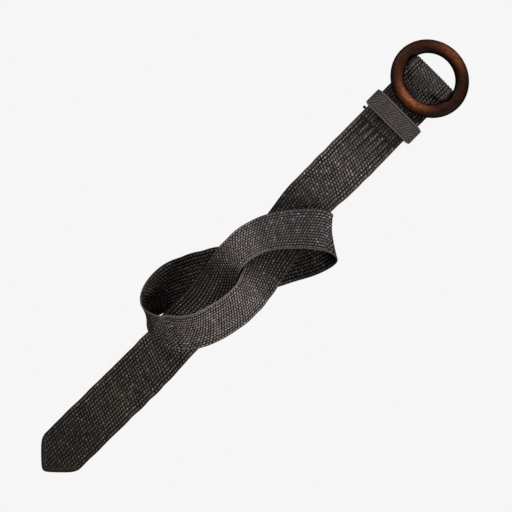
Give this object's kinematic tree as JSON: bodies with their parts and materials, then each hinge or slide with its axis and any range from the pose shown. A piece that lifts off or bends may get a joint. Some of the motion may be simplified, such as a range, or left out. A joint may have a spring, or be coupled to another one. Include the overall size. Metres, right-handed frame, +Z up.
{
  "type": "braided belt",
  "caption": "Woven belt with a round wooden ring buckle and a pointed tip, lying on its back with a loose overhand knot in the strap.",
  "frame": {"origin": "middle of the belt's footprint, on the surface that it lies on", "axes": "+X along the straight tail from the pointed tip to the ring buckle, +Z up, away from the surface"},
  "size_m": [0.5616, 0.117, 0.0482],
  "materials": {
    "strap_weave": "matt waxed cord, woven",
    "keeper_weave": "matt waxed cord, woven",
    "ring_wood": "dark red-brown, satin varnish"
  },
  "bodies": {
    "belt": {"strap": "strap_weave", "keeper": "keeper_weave"},
    "buckle": {"ring_buckle": "ring_wood"}
  },
  "joints": [
    {"name": "ring_pivot", "type": "hinge", "parent": "belt", "child": "buckle", "pos_m": [0.2437, 0.0032, 0.00907], "axis": [0, 1, 0], "range_deg": [0, 100]}
  ]
}
